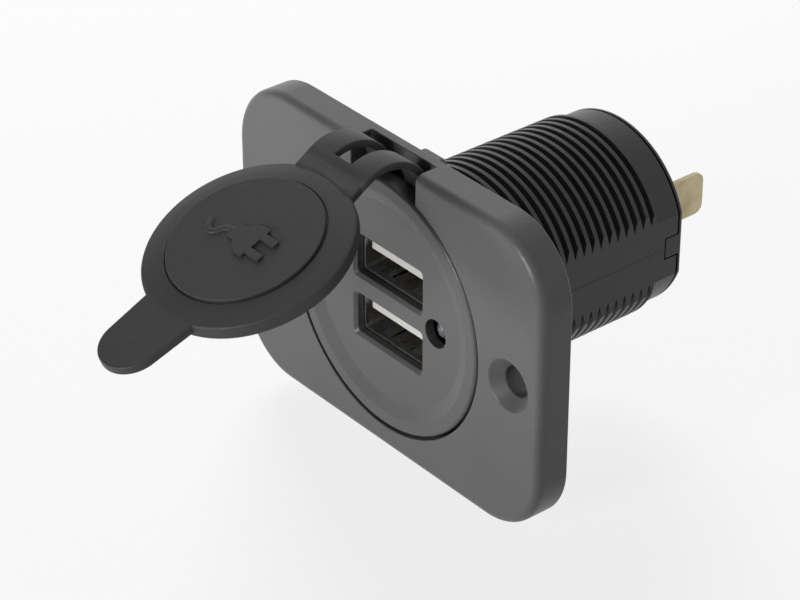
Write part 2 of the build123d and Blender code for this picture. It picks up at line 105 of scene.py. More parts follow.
def pick(kind, test):
    # selects the vertices, edges or faces that pass the test, in edit mode
    bpy.ops.mesh.select_mode(type=kind)
    bpy.ops.mesh.select_all(action="DESELECT")
    data = bpy.context.active_object.data
    mesh = bmesh.from_edit_mesh(data)
    for part in {"VERT": mesh.verts, "EDGE": mesh.edges, "FACE": mesh.faces}[kind]:
        if test(part):
            part.select_set(True)
    mesh.select_flush_mode()
    bmesh.update_edit_mesh(data)


def middle(part):
    return sum((v.co for v in part.verts), Vector()) / len(part.verts)


def allAt(axis, value):
    return lambda part: all(abs(v.co[axis] - value) < sameGap for v in part.verts)


def runsAlong(axis):
    def test(edge):
        run = edge.verts[1].co - edge.verts[0].co
        return abs(run[axis]) > 0.999 * run.length
    return test


def bevelWhere(test, width, segments):
    pick("EDGE", test)
    bpy.ops.mesh.bevel(offset=width, segments=segments, affect="EDGES")


def box(name, low, high):
    deselectAll()
    size = [b - a for a, b in zip(low, high)]
    centre = [(a + b) / 2 for a, b in zip(low, high)]
    bpy.ops.mesh.primitive_cube_add(size=1, location=centre, scale=size)
    return named(name)


def drawLine(name, points):
    # one corner of a plane is kept and extruded from point to point
    deselectAll()
    bpy.ops.mesh.primitive_plane_add(size=1)
    piece = named(name)
    startEdit(piece)
    pick("VERT", lambda v: v.index > 0)
    bpy.ops.mesh.delete(type="VERT")
    bpy.ops.mesh.select_all(action="SELECT")
    here = next(v.co.copy() for v in bmesh.from_edit_mesh(piece.data).verts)
    bpy.ops.transform.translate(value=Vector(points[0]) - here)
    for a, b in zip(points, points[1:]):
        bpy.ops.mesh.extrude_region_move(
            TRANSFORM_OT_translate={"value": Vector(b) - Vector(a)})
    endEdit()
    return piece


def modify(piece, kind, **values):
    only(piece)
    modifier = piece.modifiers.new(kind.lower(), kind)
    for key, value in values.items():
        setattr(modifier, key, value)
    bpy.ops.object.modifier_apply(modifier=modifier.name)


def tidyMesh(piece):
    startEdit(piece)
    bpy.ops.mesh.select_all(action="SELECT")
    bpy.ops.mesh.remove_doubles(threshold=joinGap)
    bpy.ops.mesh.normals_make_consistent(inside=False)
    endEdit()


def turned(name, profile, steps, at=(0, 0), rise=0.0, turns=1):
    # profile points are (radius, y), turned round an axis along Y at x, z
    piece = drawLine(name, [(r, y, 0) for r, y in profile])
    modify(piece, "SCREW", axis="Y", steps=steps, render_steps=steps, iterations=turns,
           screw_offset=rise, use_merge_vertices=True, merge_threshold=joinGap)
    tidyMesh(piece)
    piece.location = (at[0], 0, at[1])
    only(piece)
    bpy.ops.object.transform_apply(location=True, rotation=True, scale=True)
    return piece


def roundOff(centre, radius, start, stop, steps=5):
    # points on an arc, for a turned profile
    return [(centre[0] + radius * math.cos(math.radians(start + (stop - start) * i / steps)),
             centre[1] + radius * math.sin(math.radians(start + (stop - start) * i / steps)))
            for i in range(steps + 1)]


def combine(piece, other, how):
    modify(piece, "BOOLEAN", object=other, operation=how, solver="EXACT")
    bpy.data.objects.remove(other)
    return piece


def cut(piece, *cutters):
    for cutter in cutters:
        combine(piece, cutter, "DIFFERENCE")
    return piece


def weld(piece, *others):
    for other in others:
        combine(piece, other, "UNION")
    return piece


def joinLoose(piece, *others):
    deselectAll()
    for part in (piece, *others):
        part.select_set(True)
    bpy.context.view_layer.objects.active = piece
    bpy.ops.object.join()
    return piece


def copyOf(piece, name, shift):
    twin = piece.copy()
    twin.data = piece.data.copy()
    twin.name = twin.data.name = name
    bpy.context.scene.collection.objects.link(twin)
    twin.data.transform(Matrix.Translation(shift))
    return twin


def clearFlats(piece):
    # takes out the stray corners that cutting leaves on flat faces
    startEdit(piece)
    bpy.ops.mesh.select_all(action="SELECT")
    bpy.ops.mesh.remove_doubles(threshold=strayGap)
    bpy.ops.mesh.dissolve_limited(angle_limit=flatAngle)
    bpy.ops.mesh.dissolve_degenerate(threshold=strayGap)
    endEdit()


def soften(piece, width, segments=2, sharpest=35, keepFlats=True):
    # breaks the sharp edges, then smooths, as a rule with the flats kept flat
    if width:
        clearFlats(piece)
        modify(piece, "BEVEL", width=width, segments=segments, limit_method="ANGLE",
               angle_limit=math.radians(sharpest), use_clamp_overlap=False)
        clearFlats(piece)
    only(piece)
    bpy.ops.object.shade_smooth_by_angle(angle=smoothAngle)
    if keepFlats:
        modify(piece, "WEIGHTED_NORMAL", keep_sharp=True)


def sliceOff(piece, place, direction):
    # takes away all that lies past a plane, and closes the end
    startEdit(piece)
    bpy.ops.mesh.select_all(action="SELECT")
    bpy.ops.mesh.bisect(plane_co=place, plane_no=direction, use_fill=True, clear_outer=True)
    endEdit()


def finish(piece, body, material, replaces=()):
    only(piece)
    piece.scale = (metresPerMm,) * 3
    bpy.ops.object.transform_apply(location=True, rotation=True, scale=True)
    piece.data.materials.clear()
    piece.data.materials.append(material)
    if body:
        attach(piece, body)
    if replaces:
        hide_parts(*replaces)
    return piece


# shader parts
def newGroup(name, inputs, outputs):
    group = bpy.data.node_groups.new(name, "ShaderNodeTree")
    for label, kind, value in inputs:
        socket = group.interface.new_socket(name=label, in_out="INPUT", socket_type=kind)
        if value is not None:
            socket.default_value = value
    for label, kind in outputs:
        group.interface.new_socket(name=label, in_out="OUTPUT", socket_type=kind)
    return group, group.nodes.new("NodeGroupInput"), group.nodes.new("NodeGroupOutput")


def addNode(tree, kind, values=(), **links):
    # values are (input, value) pairs, links are input name = (node, output)
    node = tree.nodes.new(kind)
    for key, value in values:
        if isinstance(key, str) and not key[0].isupper():
            setattr(node, key, value)
        else:
            node.inputs[key].default_value = value
    for key, (source, output) in links.items():
        tree.links.new(source.outputs[output], node.inputs[key.replace("_", " ")])
    return node


def makeGrainGroup():
    # fine moulded grain: a height for the bump and a slow mottling
    group, given, out = newGroup(
        "mouldGrain",
        [("Fine", "NodeSocketFloat", 2600.0), ("Slow", "NodeSocketFloat", 90.0)],
        [("Height", "NodeSocketFloat"), ("Mottle", "NodeSocketFloat")])
    place = addNode(group, "ShaderNodeTexCoord")
    fine = addNode(group, "ShaderNodeTexNoise", [("Detail", 3.0), ("Roughness", 0.6)],
                   Vector=(place, "Object"), Scale=(given, "Fine"))
    slow = addNode(group, "ShaderNodeTexNoise", [("Detail", 2.0)],
                   Vector=(place, "Object"), Scale=(given, "Slow"))
    group.links.new(fine.outputs["Fac"], out.inputs["Height"])
    group.links.new(slow.outputs["Fac"], out.inputs["Mottle"])
    return group


def makeDustGroup():
    # scattered pale specks of lint
    group, given, out = newGroup(
        "dustSpecks",
        [("Scale", "NodeSocketFloat", 420.0), ("Size", "NodeSocketFloat", 0.06),
         ("Share", "NodeSocketFloat", 0.03)],
        [("Mask", "NodeSocketFloat")])
    place = addNode(group, "ShaderNodeTexCoord")
    cells = addNode(group, "ShaderNodeTexVoronoi", [("feature", "F1")],
                    Vector=(place, "Object"), Scale=(given, "Scale"))
    near = addNode(group, "ShaderNodeMath", [("operation", "LESS_THAN")])
    group.links.new(cells.outputs["Distance"], near.inputs[0])
    group.links.new(given.outputs["Size"], near.inputs[1])
    tone = addNode(group, "ShaderNodeSeparateColor")
    group.links.new(cells.outputs["Color"], tone.inputs["Color"])
    few = addNode(group, "ShaderNodeMath", [("operation", "LESS_THAN")])
    group.links.new(tone.outputs["Red"], few.inputs[0])
    group.links.new(given.outputs["Share"], few.inputs[1])
    both = addNode(group, "ShaderNodeMath", [("operation", "MULTIPLY")])
    group.links.new(near.outputs[0], both.inputs[0])
    group.links.new(few.outputs[0], both.inputs[1])
    group.links.new(both.outputs[0], out.inputs["Mask"])
    return group


def makeBrushGroup():
    # fine lines left by rolling or drawing metal along Y
    group, given, out = newGroup(
        "drawnLines",
        [("Scale", "NodeSocketFloat", 900.0)],
        [("Height", "NodeSocketFloat"), ("Tarnish", "NodeSocketFloat")])
    place = addNode(group, "ShaderNodeTexCoord")
    stretch = addNode(group, "ShaderNodeMapping", [("Scale", (4.0, 0.12, 4.0))],
                      Vector=(place, "Object"))
    lines = addNode(group, "ShaderNodeTexNoise", [("Detail", 3.0)],
                    Vector=(stretch, "Vector"), Scale=(given, "Scale"))
    blots = addNode(group, "ShaderNodeTexNoise", [("Scale", 260.0), ("Detail", 4.0)],
                    Vector=(place, "Object"))
    group.links.new(lines.outputs["Fac"], out.inputs["Height"])
    group.links.new(blots.outputs["Fac"], out.inputs["Tarnish"])
    return group


grainGroup = makeGrainGroup()
dustGroup = makeDustGroup()
brushGroup = makeBrushGroup()


def groupNode(tree, group, values):
    node = tree.nodes.new("ShaderNodeGroup")
    node.node_tree = group
    for key, value in values:
        node.inputs[key].default_value = value
    return node


def ramp(tree, source, output, low, high, fromLow=0.3, fromHigh=0.7):
    node = addNode(tree, "ShaderNodeMapRange",
                   [("From Min", fromLow), ("From Max", fromHigh),
                    ("To Min", low), ("To Max", high)])
    tree.links.new(source.outputs[output], node.inputs["Value"])
    return node


def mixColour(tree, mask, maskOut, first, second):
    node = tree.nodes.new("ShaderNodeMix")
    node.data_type = "RGBA"
    tree.links.new(mask.outputs[maskOut], node.inputs["Factor"])
    for socket, value in ((node.inputs[6], first), (node.inputs[7], second)):
        if isinstance(value, tuple):
            socket.default_value = (*value[:3], 1)
        else:
            tree.links.new(value.outputs[2], socket)
    return node


def newMaterial(name):
    material = bpy.data.materials.new(name)
    material.use_nodes = True
    return material, material.node_tree, material.node_tree.nodes["Principled BSDF"]


def mouldedPlastic(name, colour, lighter, roughness, fine, depth, dust=0.0, shine=0.5):
    material, tree, shader = newMaterial(name)
    shader.inputs["Specular IOR Level"].default_value = shine
    grain = groupNode(tree, grainGroup, [("Fine", fine)])
    slow = ramp(tree, grain, "Mottle", 0.0, 1.0)
    tone = mixColour(tree, slow, "Result", colour, lighter)
    if dust:
        specks = groupNode(tree, dustGroup, [("Share", dust)])
        tone = mixColour(tree, specks, "Mask", tone, lintTone)
    tree.links.new(tone.outputs[2], shader.inputs["Base Color"])
    rough = ramp(tree, grain, "Mottle", roughness - 0.04, roughness + 0.05)
    tree.links.new(rough.outputs["Result"], shader.inputs["Roughness"])
    bump = addNode(tree, "ShaderNodeBump", [("Strength", 0.5), ("Distance", depth)],
                   Height=(grain, "Height"))
    tree.links.new(bump.outputs["Normal"], shader.inputs["Normal"])
    return material


def drawnMetal(name, colour, darker, roughness, depth=4e-6, scale=900.0):
    material, tree, shader = newMaterial(name)
    shader.inputs["Metallic"].default_value = 1.0
    lines = groupNode(tree, brushGroup, [("Scale", scale)])
    tarnish = ramp(tree, lines, "Tarnish", 0.0, 1.0, 0.45, 0.75)
    tone = mixColour(tree, tarnish, "Result", colour, darker)
    tree.links.new(tone.outputs[2], shader.inputs["Base Color"])
    shine = ramp(tree, lines, "Tarnish", roughness - 0.04, roughness + 0.12)
    tree.links.new(shine.outputs["Result"], shader.inputs["Roughness"])
    bump = addNode(tree, "ShaderNodeBump", [("Strength", 0.4), ("Distance", depth)],
                   Height=(lines, "Height"))
    tree.links.new(bump.outputs["Normal"], shader.inputs["Normal"])
    return material


def clearResin(name, colour):
    material, tree, shader = newMaterial(name)
    shader.inputs["Transmission Weight"].default_value = 0.85
    shader.inputs["IOR"].default_value = 1.5
    grain = groupNode(tree, grainGroup, [("Fine", 900.0)])
    slow = ramp(tree, grain, "Mottle", 0.0, 1.0)
    tone = mixColour(tree, slow, "Result", colour, tuple(c * 0.92 for c in colour))
    tree.links.new(tone.outputs[2], shader.inputs["Base Color"])
    shine = ramp(tree, grain, "Mottle", 0.04, 0.1)
    tree.links.new(shine.outputs["Result"], shader.inputs["Roughness"])
    return material


finishes = {
    "plate": mouldedPlastic("platePlastic", (0.082, 0.082, 0.084), (0.093, 0.093, 0.095),
                            0.38, 1800, 7e-5, dust=0.003),
    "face": mouldedPlastic("facePlastic", (0.076, 0.076, 0.078), (0.086, 0.086, 0.088),
                           0.36, 1800, 6e-5, dust=0.003),
    "body": mouldedPlastic("bodyPlastic", (0.019, 0.019, 0.0195), (0.025, 0.025, 0.0255),
                           0.34, 1600, 6e-5, dust=0.006, shine=0.42),
    "rubber": mouldedPlastic("rubber", (0.026, 0.026, 0.026), (0.032, 0.032, 0.032),
                             0.52, 2000, 9e-5, dust=0.006, shine=0.5),
    "white": mouldedPlastic("whitePlastic", (0.56, 0.56, 0.545), (0.5, 0.5, 0.48),
                            0.4, 2200, 6e-6),
    "resin": mouldedPlastic("chipResin", (0.03, 0.03, 0.033), (0.045, 0.045, 0.05),
                            0.5, 4200, 1e-5),
    "fuse": mouldedPlastic("fuseResin", (0.08, 0.32, 0.18), (0.1, 0.36, 0.2), 0.35, 3000, 6e-6),
    "board": mouldedPlastic("boardMask", (0.03, 0.2, 0.09), (0.04, 0.25, 0.11), 0.3, 1500, 8e-6),
    "ferrite": mouldedPlastic("ferrite", (0.06, 0.06, 0.062), (0.1, 0.1, 0.1), 0.7, 5200, 2e-5),
    "plated": drawnMetal("platedSteel", (0.54, 0.54, 0.55), (0.4, 0.4, 0.4), 0.26),
    "contact": drawnMetal("goldFlash", (0.62, 0.55, 0.4), (0.5, 0.44, 0.32), 0.3),
    "tinned": drawnMetal("tinnedWire", (0.7, 0.71, 0.72), (0.55, 0.55, 0.55), 0.3),
    "can": drawnMetal("canMetal", (0.76, 0.77, 0.79), (0.66, 0.67, 0.69), 0.28),
    "copper": drawnMetal("copperWire", (0.72, 0.36, 0.18), (0.5, 0.24, 0.12), 0.3, scale=2400.0),
    "brass": drawnMetal("paleBrass", (0.5, 0.43, 0.27), (0.36, 0.3, 0.17), 0.34, 8e-6),
    "lamp": clearResin("lampResin", (0.55, 0.57, 0.6)),
}
print("materials made:", len(finishes))

# flange
flange = {
    "width": 61.0, "height": 44.0, "thickness": 5.0, "corner": 10.0, "edge": 1.2,
    "backEdge": 0.25, "screwSpacing": 49.0, "screwHole": 2.15, "screwMouth": 3.7,
    "bossRadius": 20.0, "bossHeight": 2.4, "bossEdge": 0.5, "pocket": 18.74,
    "pocketFloor": 1.5, "bore": 14.6, "notchHalf": 6.4, "notchFloor": -1.55, "notchLow": 12,
    "notchHigh": 30, "brokenEdge": 0.16, "keyHalf": 2.4, "keyTop": 19.4, "keyBack": 3.9,
    "keyCorner": 0.9, "keyEdge": 0.55,
}


def makeFlange(f):
    halfWide, halfHigh, front = f["width"] / 2, f["height"] / 2, -f["thickness"]
    piece = box("flange", (-halfWide, front, -halfHigh), (halfWide, 0, halfHigh))
    startEdit(piece)
    bevelWhere(runsAlong(1), f["corner"], 24)
    bevelWhere(allAt(1, front), f["edge"], 7)
    bevelWhere(allAt(1, 0), f["backEdge"], 2)
    endEdit()
    boss, high = f["bossRadius"], f["bossHeight"]
    weld(piece, turned("boss", [(0, -past), (boss, -past)] + roundOff(
        (boss - f["bossEdge"], high - f["bossEdge"]), f["bossEdge"], 0, 90) + [(0, high)], 160))
    key = box("key", (-f["keyHalf"], 0, f["bore"]), (f["keyHalf"], f["keyBack"], f["keyTop"]))
    startEdit(key)
    bevelWhere(runsAlong(1), f["keyCorner"], 6)
    bevelWhere(allAt(1, f["keyBack"]), f["keyEdge"], 4)
    endEdit()
    weld(piece, key)
    cut(piece, turned("pocket", [
        (0, front - past), (f["pocket"], front - past), (f["pocket"], f["pocketFloor"]),
        (f["bore"], f["pocketFloor"]), (f["bore"], high + 2 * past), (0, high + 2 * past)], 160))
    mouth, hole = f["screwMouth"], f["screwHole"]
    for side in (-1, 1):
        cut(piece, turned("screwCut", [
            (0, front - past), (mouth + past, front - past), (hole, front + mouth - hole),
            (hole, past), (0, past)], 64, at=(side * f["screwSpacing"] / 2, 0)))
    cut(piece, box("notch", (-f["notchHalf"], front - past, f["notchLow"]),
                   (f["notchHalf"], f["notchFloor"], f["notchHigh"])))
    soften(piece, f["brokenEdge"], 3)
    return finish(piece, "socket", finishes["plate"], ["mounting_plate"])


makeFlange(flange)
print("flange made")

# face round the ports
face = {
    "radius": 18.38, "front": -5.0, "edge": 0.55, "slopeOut": 16.4, "slopeIn": 14.5,
    "flat": -4.25, "back": -2.8, "skirtOut": 14.4, "skirtIn": 13.0, "skirtEnd": 0.4,
    "slopeRound": 0.8, "slopeLead": 0.1, "portWide": 13.26, "portHigh": 5.88,
    "portMouth": 0.45, "portRise": 4.55, "portCorner": 0.6, "lightAt": 9.6, "lightHole": 2.0,
    "brokenEdge": 0.09,
}


def portCutter(f, rise):
    half, tall, deep = f["portWide"] / 2, f["portHigh"] / 2, f["flat"] + f["portMouth"]
    cutter = box("portCut", (-half, deep, rise - tall), (half, f["back"] + past, rise + tall))
    startEdit(cutter)
    bevelWhere(runsAlong(1), f["portCorner"], 5)
    pick("FACE", allAt(1, deep))
    mouth = f["portMouth"]
    for grow in (mouth, past):
        bpy.ops.mesh.extrude_region_move(TRANSFORM_OT_translate={"value": (0, -grow, 0)})
        if grow == mouth:
            bpy.ops.transform.resize(value=((half + mouth) / half, 1, (tall + mouth) / tall),
                                     center_override=(0, f["flat"], rise))
    endEdit()
    return cutter


def makeFace(f):
    slope = math.degrees(math.atan2(f["flat"] - f["front"], f["slopeOut"] - f["slopeIn"]))
    rim, edge, curve, lead = f["radius"], f["edge"], f["slopeRound"], f["slopeLead"]
    piece = turned("face", [
        (0, f["back"]), (f["skirtIn"], f["back"]), (f["skirtIn"], f["skirtEnd"]),
        (f["skirtOut"], f["skirtEnd"]), (f["skirtOut"], f["back"]), (rim, f["back"])]
        + roundOff((rim - edge, f["front"] + edge), edge, 0, -90)
        + roundOff((f["slopeOut"] + lead, f["front"] + curve), curve, -90, -90 - slope, 3)
        + roundOff((f["slopeIn"] - lead, f["flat"] - curve), curve, 90 - slope, 90, 3)
        + [(0, f["flat"])], 160)
    for rise in (-f["portRise"], f["portRise"]):
        cut(piece, portCutter(f, rise))
    cut(piece, turned("lightCut", [(0, f["front"]), (f["lightHole"], f["front"]),
                                   (f["lightHole"], 0), (0, 0)], 48, at=(f["lightAt"], 0)))
    soften(piece, f["brokenEdge"], 2)
    return finish(piece, "socket", finishes["face"], ["face_insert"])


makeFace(face)
print("face made")

# threaded barrel
barrel = {
    "crest": 14.4, "root": 13.74, "pitch": 1.5, "crestFlat": 0.62, "rootFlat": 0.14,
    "threadStart": 1.0, "threadEnd": 31.2, "turns": 23,
    "runout": ((15, -0.9), (14.38, -0.5), (13.44, 0.15)), "tail": 13.77, "tailFrom": 28,
    "end": 34.9, "headRadius": 18.5, "headFront": -1.6, "headBack": 1.5, "bore": 12.15,
    "waist": 11.6, "waistFrom": 12.6, "waistTo": 29, "skirtBore": 14.5, "skirtSeat": 0.5,
    "flatAt": 13.0, "flatStart": 2.45,
    "tabHalf": 1.68, "tabDepth": 1.6, "tabLength": 2.25, "partingLine": 0.03, "brokenEdge": 0.05,
}


def makeBarrel(b):
    flank = (b["pitch"] - b["crestFlat"] - b["rootFlat"]) / 2
    low = -2 * b["pitch"]
    ys = [low, low + b["rootFlat"], low + b["rootFlat"] + flank,
          low + b["rootFlat"] + flank + b["crestFlat"], low + b["pitch"]]
    piece = turned("barrel", list(zip(
        (b["root"], b["root"], b["crest"], b["crest"], b["root"]), ys)),
        96, rise=b["pitch"], turns=b["turns"])
    for height, side in ((b["threadStart"], -1), (b["threadEnd"] + 0.2, 1)):
        sliceOff(piece, (0, height, 0), (0, side, 0))
    tidyMesh(piece)
    # the thread fades out along a cone in front of the plain tail
    fade = [(radius, b["threadEnd"] + y) for radius, y in b["runout"]]
    start = b["threadStart"] - past
    combine(piece, turned("blank", [(0, start), (fade[0][0], start)] + fade
                          + [(0, fade[-1][1])], 128), "INTERSECT")
    weld(piece, turned("tail", [(0, b["tailFrom"]), (b["tail"], b["tailFrom"]),
                                (b["tail"], b["end"]), (0, b["end"])], 128),
         turned("head", [(0, b["headFront"]), (b["headRadius"], b["headFront"]),
                         (b["headRadius"], b["headBack"]), (0, b["headBack"])], 128))
    front, back = b["headFront"] - past, b["end"] + past
    cut(piece, turned("bores", [
        (0, front), (b["skirtBore"], front), (b["skirtBore"], b["skirtSeat"]),
        (b["bore"], b["skirtSeat"]), (b["bore"], b["waistFrom"]), (b["waist"], b["waistFrom"]),
        (b["waist"], b["waistTo"]), (b["bore"], b["waistTo"]), (b["bore"], back), (0, back)], 96))
    for side in (-1, 1):
        inner, outer = sorted((side * b["flatAt"], side * outside))
        cut(piece, box("flatCut", (inner, b["flatStart"], -outside), (outer, back, outside)))
        inner, outer = sorted((side * (b["flatAt"] - b["tabDepth"]), side * (b["flatAt"] + past)))
        cut(piece, box("tabCut", (inner, b["end"] - b["tabLength"], -b["tabHalf"]),
                       (outer, back, b["tabHalf"])))
        inner, outer = sorted((side * (b["flatAt"] - b["partingLine"]),
                               side * (b["flatAt"] + past)))
        cut(piece, box("partingCut", (inner, b["flatStart"] + 0.5, -b["partingLine"]),
                       (outer, b["end"] - b["tabLength"] - 0.3, b["partingLine"])))
    soften(piece, 0)
    return finish(piece, "socket", finishes["body"], ["socket_body"])


makeBarrel(barrel)
print("barrel made")

# rear cover
cover = {
    "radius": 13.77, "front": 34.9, "back": 35.85, "edge": 0.45, "flatAt": 13.0,
    "plugOut": 12.05, "plugIn": 10.9, "plugFront": 30.65, "tabHalf": 1.5, "tabDepth": 1.5,
    "tabLength": 2.05, "slotHalf": (0.5, 3.25), "bladeAt": 4.7, "brokenEdge": 0.06,
    "grooveWide": 0.3, "grooveDeep": 0.35, "rimFrom": 12.9,
    "signSize": 2.2, "signBar": 0.5, "signRaise": 0.2, "signSink": 0.2, "signAt": 8.9,
}


def makeCover(c):
    foot, core = c["front"] + c["grooveWide"], c["radius"] - c["grooveDeep"]
    piece = turned("rearCover", [
        (0, c["front"]), (core, c["front"]), (core, foot), (c["radius"], foot),
        (c["radius"], c["back"]), (0, c["back"])], 128)
    front, back = c["front"] - past, c["back"] + past
    combine(piece, box("flats", (-c["flatAt"], front, -outside), (c["flatAt"], back, outside)),
            "INTERSECT")
    for side in (-1, 1):
        inner, outer = sorted((side * (c["flatAt"] - c["grooveDeep"]), side * (c["flatAt"] + past)))
        cut(piece, box("grooveCut", (inner, front, -outside), (outer, foot, outside)))
    startEdit(piece)
    bevelWhere(lambda e: allAt(1, c["back"])(e)
               and math.hypot(middle(e).x, middle(e).z) > c["rimFrom"], c["edge"], 5)
    endEdit()
    rimEnd = c["front"] + 0.2
    weld(piece, turned("plugRim", [
        (c["plugIn"], c["plugFront"]), (c["plugOut"], c["plugFront"]), (c["plugOut"], rimEnd),
        (c["plugIn"], rimEnd), (c["plugIn"], c["plugFront"])], 96))
    for side in (-1, 1):
        inner, outer = sorted((side * (c["flatAt"] - c["tabDepth"]), side * c["flatAt"]))
        weld(piece, box("tab", (inner, c["front"] - c["tabLength"], -c["tabHalf"]),
                        (outer, foot + 0.1, c["tabHalf"])))
        half, tall = c["slotHalf"]
        cut(piece, box("slot", (side * c["bladeAt"] - half, front, -tall),
                       (side * c["bladeAt"] + half, back, tall)))
        size, bar = c["signSize"] / 2, c["signBar"] / 2
        bars = [(size, bar)] + ([(bar, size)] if side > 0 else [])
        for wide, high in bars:
            weld(piece, box("sign", (side * c["signAt"] - wide, c["back"] - c["signSink"], -high),
                            (side * c["signAt"] + wide, c["back"] + c["signRaise"], high)))
    soften(piece, c["brokenEdge"], 2)
    return finish(piece, "socket", finishes["body"], ["rear_cover"])


makeCover(cover)
print("rear cover made")

# blades
blade = {
    "at": 4.7, "halfWide": 3.15, "thick": 0.8, "start": 30.65, "tip": 47.4, "corner": 1.3,
    "tailHalf": 1.5, "tailLength": 3.2, "brokenEdge": 0.1,
}


def makeBlades(b):
    near, far = b["at"] - b["thick"] / 2, b["at"] + b["thick"] / 2
    piece = box("bladePositive", (near, b["start"], -b["halfWide"]),
                (far, b["tip"], b["halfWide"]))
    startEdit(piece)
    bevelWhere(lambda e: runsAlong(0)(e) and middle(e).y > b["tip"] - 0.1, b["corner"], 3)
    endEdit()
    weld(piece, box("tail", (near + 0.01, b["start"] - b["tailLength"], -b["tailHalf"]),
                    (far - 0.01, b["start"] + past, b["tailHalf"])))
    soften(piece, b["brokenEdge"], 2)
    twin = copyOf(piece, "bladeNegative", (-2 * b["at"], 0, 0))
    finish(piece, "socket", finishes["brass"], ["blade_positive"])
    finish(twin, "socket", finishes["brass"], ["blade_negative"])


makeBlades(blade)
print("blades made")

# receptacles
receptacle = {
    "rise": 4.55, "wide": 13.1, "high": 5.72, "wall": 0.3, "corner": 0.7, "front": -2.85,
    "back": 11.0, "seam": 0.12, "leafAt": 3.0, "leafWide": 1.8, "leafStart": 0.9,
    "leafLength": 3.6, "leafDip": 0.38, "leafLow": 0.8, "leafMargin": 0.25,
    "tongueHalf": 5.55, "tongueLow": 0.4, "tongueHigh": 2.1, "tongueFront": -2.35,
    "tongueEdge": 0.22, "blockFront": 8.0, "blockGap": 0.04,
    "slotSide": 0.1, "slotFront": 0.6, "slotDeep": 0.35,
    "contactPitch": 2.25, "contactHalf": 0.5, "contactThick": 0.22, "contactFront": -1.55,
    "contactLag": 0.9, "contactSink": 0.24, "contactEnd": 13.6, "contactDip": 0.35,
    "bumpAt": 1.6, "bumpHalf": 1.5,
}


def makeShell(r):
    half, tall = r["wide"] / 2, r["high"] / 2
    piece = box("portShellUpper", (-half, r["front"], -tall), (half, r["back"], tall))
    startEdit(piece)
    bevelWhere(runsAlong(1), r["corner"], 6)
    pick("FACE", lambda f: abs(f.normal.y) > 0.9)
    bpy.ops.mesh.delete(type="FACE")
    endEdit()
    modify(piece, "SOLIDIFY", thickness=r["wall"], offset=-1.0, use_even_offset=True)
    cut(piece, box("seamCut", (-r["seam"] / 2, r["front"] - past, -tall - past),
                   (r["seam"] / 2, r["back"] + past, -tall + past)))
    leaves = []
    for up in (-1, 1):
        for side in (-1, 1):
            x, wall = side * r["leafAt"], up * tall
            start = r["front"] + r["leafStart"]
            end = start + r["leafLength"]
            wide = r["leafWide"] / 2 + r["leafMargin"]
            cut(piece, box("window", (x - wide, start, wall - past),
                           (x + wide, end + r["leafMargin"], wall + past)))
            low, high = sorted((wall, wall - up * r["wall"]))
            leaf = box("leaf", (x - r["leafWide"] / 2, start - 0.05, low),
                       (x + r["leafWide"] / 2, end, high))
            startEdit(leaf)
            pick("EDGE", runsAlong(1))
            bpy.ops.mesh.subdivide(number_cuts=5)
            pick("VERT", lambda v: True)
            mesh = bmesh.from_edit_mesh(leaf.data)
            for v in mesh.verts:   # the leaf dips inwards and its tip flares back
                along = max(0.0, (v.co.y - start) / r["leafLength"])
                rise = math.sin(min(along, r["leafLow"]) / r["leafLow"] * math.pi / 2)
                dip = rise - max(0.0, along - r["leafLow"])
                v.co.z -= up * r["leafDip"] * dip
            bmesh.update_edit_mesh(leaf.data)
            endEdit()
            leaves.append(leaf)
    joinLoose(piece, *leaves)
    soften(piece, 0.04, 2)
    return piece


def makeTongue(r):
    piece = box("portTongueUpper", (-r["tongueHalf"], r["tongueFront"], r["tongueLow"]),
                (r["tongueHalf"], r["blockFront"] + past, r["tongueHigh"]))
    startEdit(piece)
    bevelWhere(allAt(1, r["tongueFront"]), r["tongueEdge"], 3)
    endEdit()
    half = r["wide"] / 2 - r["wall"] - r["blockGap"]
    tall = r["high"] / 2 - r["wall"] - r["blockGap"]
    block = box("block", (-half, r["blockFront"], -tall), (half, r["back"], tall))
    startEdit(block)
    bevelWhere(runsAlong(1), r["corner"], 4)
    endEdit()
    weld(piece, block)
    wide = r["contactHalf"] + r["slotSide"]
    for i in range(4):
        x = (i - 1.5) * r["contactPitch"]
        cut(piece, box("slot", (x - wide, r["tongueFront"] + r["slotFront"],
                                r["tongueLow"] - r["slotDeep"]),
                       (x + wide, r["back"] + past, r["tongueLow"] + 0.05)))
    soften(piece, 0.05, 2)
    return piece


def makeContacts(r):
    parts = []
    low = r["tongueLow"] - r["contactSink"]
    for i, lag in enumerate((0.0, r["contactLag"], r["contactLag"], 0.0)):
        x = (i - 1.5) * r["contactPitch"]
        front = r["contactFront"] + lag
        strip = box("contact", (x - r["contactHalf"], front, low),
                    (x + r["contactHalf"], r["contactEnd"], low + r["contactThick"]))
        startEdit(strip)
        pick("EDGE", runsAlong(1))
        bpy.ops.mesh.subdivide(number_cuts=24)
        pick("VERT", lambda v: True)
        mesh = bmesh.from_edit_mesh(strip.data)
        for v in mesh.verts:   # a spring bump near the plug end
            near = max(0.0, 1 - abs(v.co.y - (front + r["bumpAt"])) / r["bumpHalf"])
            v.co.z -= r["contactDip"] * near * near * (3 - 2 * near)
        bmesh.update_edit_mesh(strip.data)
        endEdit()
        parts.append(strip)
    piece = joinLoose(*parts)
    piece.name = piece.data.name = "portContactsUpper"
    soften(piece, 0.03, 1)
    return piece


